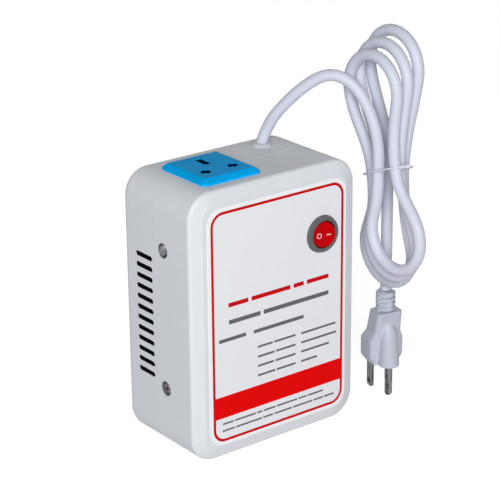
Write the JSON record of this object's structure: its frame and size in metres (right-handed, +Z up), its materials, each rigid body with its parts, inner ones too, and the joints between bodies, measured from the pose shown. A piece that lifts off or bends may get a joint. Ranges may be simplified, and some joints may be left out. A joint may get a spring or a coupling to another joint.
{
  "type": "voltage converter",
  "caption": "Upright box that steps mains voltage up with a toroidal transformer, with a universal socket on top, a rocker switch in front and a lead tied in a hank.",
  "frame": {"origin": "middle of the base, on the plane where the front and rear covers meet", "axes": "+X to the right as seen from the front, +Y to the back, +Z up"},
  "size_m": [0.1674, 0.115, 0.239],
  "materials": {
    "case_white": "fine moulded texture",
    "label_film": "printed film",
    "screw_steel": "zinc plated",
    "socket_blue": "moulded",
    "socket_ivory": "moulded",
    "contact_brass": "stamped",
    "bezel_grey": "moulded",
    "rocker_red": "moulded",
    "gland_white": "moulded",
    "clamp_grey": "moulded",
    "lead_white": "flexible plastic sheath",
    "tie_white": "coated wire",
    "plug_metal": "nickel plated",
    "core_steel": "wound strip",
    "winding_copper": "enamelled wire",
    "tape_yellow": "polyester tape",
    "pad_black": "foam rubber",
    "cutout_black": "matt",
    "spade_red": "insulated sleeve",
    "wire_brown": "sheath",
    "wire_blue": "sheath",
    "wire_red": "sheath",
    "wire_green": "sheath"
  },
  "bodies": {
    "case": {"front_cover": "case_white", "rear_cover": "case_white", "front_label": "label_film", "case_screws": "screw_steel", "socket_screw": "screw_steel", "cord_clamp_screws": "screw_steel", "centre_bolt": "screw_steel", "bolt_washer": "screw_steel", "retaining_plate": "screw_steel", "socket_faceplate": "socket_blue", "socket_base": "socket_ivory", "socket_live_contact": "contact_brass", "socket_neutral_contact": "contact_brass", "socket_earth_contact": "contact_brass", "switch_common_terminal": "contact_brass", "switch_line_terminal": "contact_brass", "brass_insert": "contact_brass", "switch_body": "bezel_grey", "cord_gland": "gland_white", "cord_clamp": "clamp_grey", "cord_tail": "lead_white", "cord_lead": "lead_white", "cord_hank": "lead_white", "plug_body": "lead_white", "hank_tie": "tie_white", "plug_blades": "plug_metal", "plug_ground_pin": "plug_metal", "toroid_core": "core_steel", "primary_winding": "winding_copper", "secondary_winding": "winding_copper", "core_insulation": "tape_yellow", "rear_pad": "pad_black", "front_pad": "pad_black", "vent_screens": "pad_black", "thermal_cutout": "cutout_black", "outer_wrap": "cutout_black", "spade_terminals": "spade_red", "wire_live_in": "wire_brown", "wire_live_switched": "wire_brown", "wire_neutral_in": "wire_blue", "wire_output_neutral": "wire_blue", "wire_output_live": "wire_red", "wire_earth": "wire_green"},
    "rocker": {"switch_rocker": "rocker_red", "switch_spring": "screw_steel", "switch_plunger": "socket_ivory"},
    "seesaw": {"switch_seesaw": "contact_brass"}
  },
  "joints": [
    {"name": "rocker_pivot", "type": "hinge", "parent": "case", "child": "rocker", "pos_m": [0.0338, -0.034, 0.1227], "axis": [0, 0, 1], "range_deg": [0, 20]},
    {"name": "seesaw_pivot", "type": "hinge", "parent": "case", "child": "seesaw", "pos_m": [0.0338, -0.0184, 0.1227], "axis": [0, 0, 1], "range_deg": [-16, 0]}
  ],
  "couplings": [
    {"joint": "seesaw_pivot", "follows": "rocker_pivot", "ratio": -0.8}
  ]
}
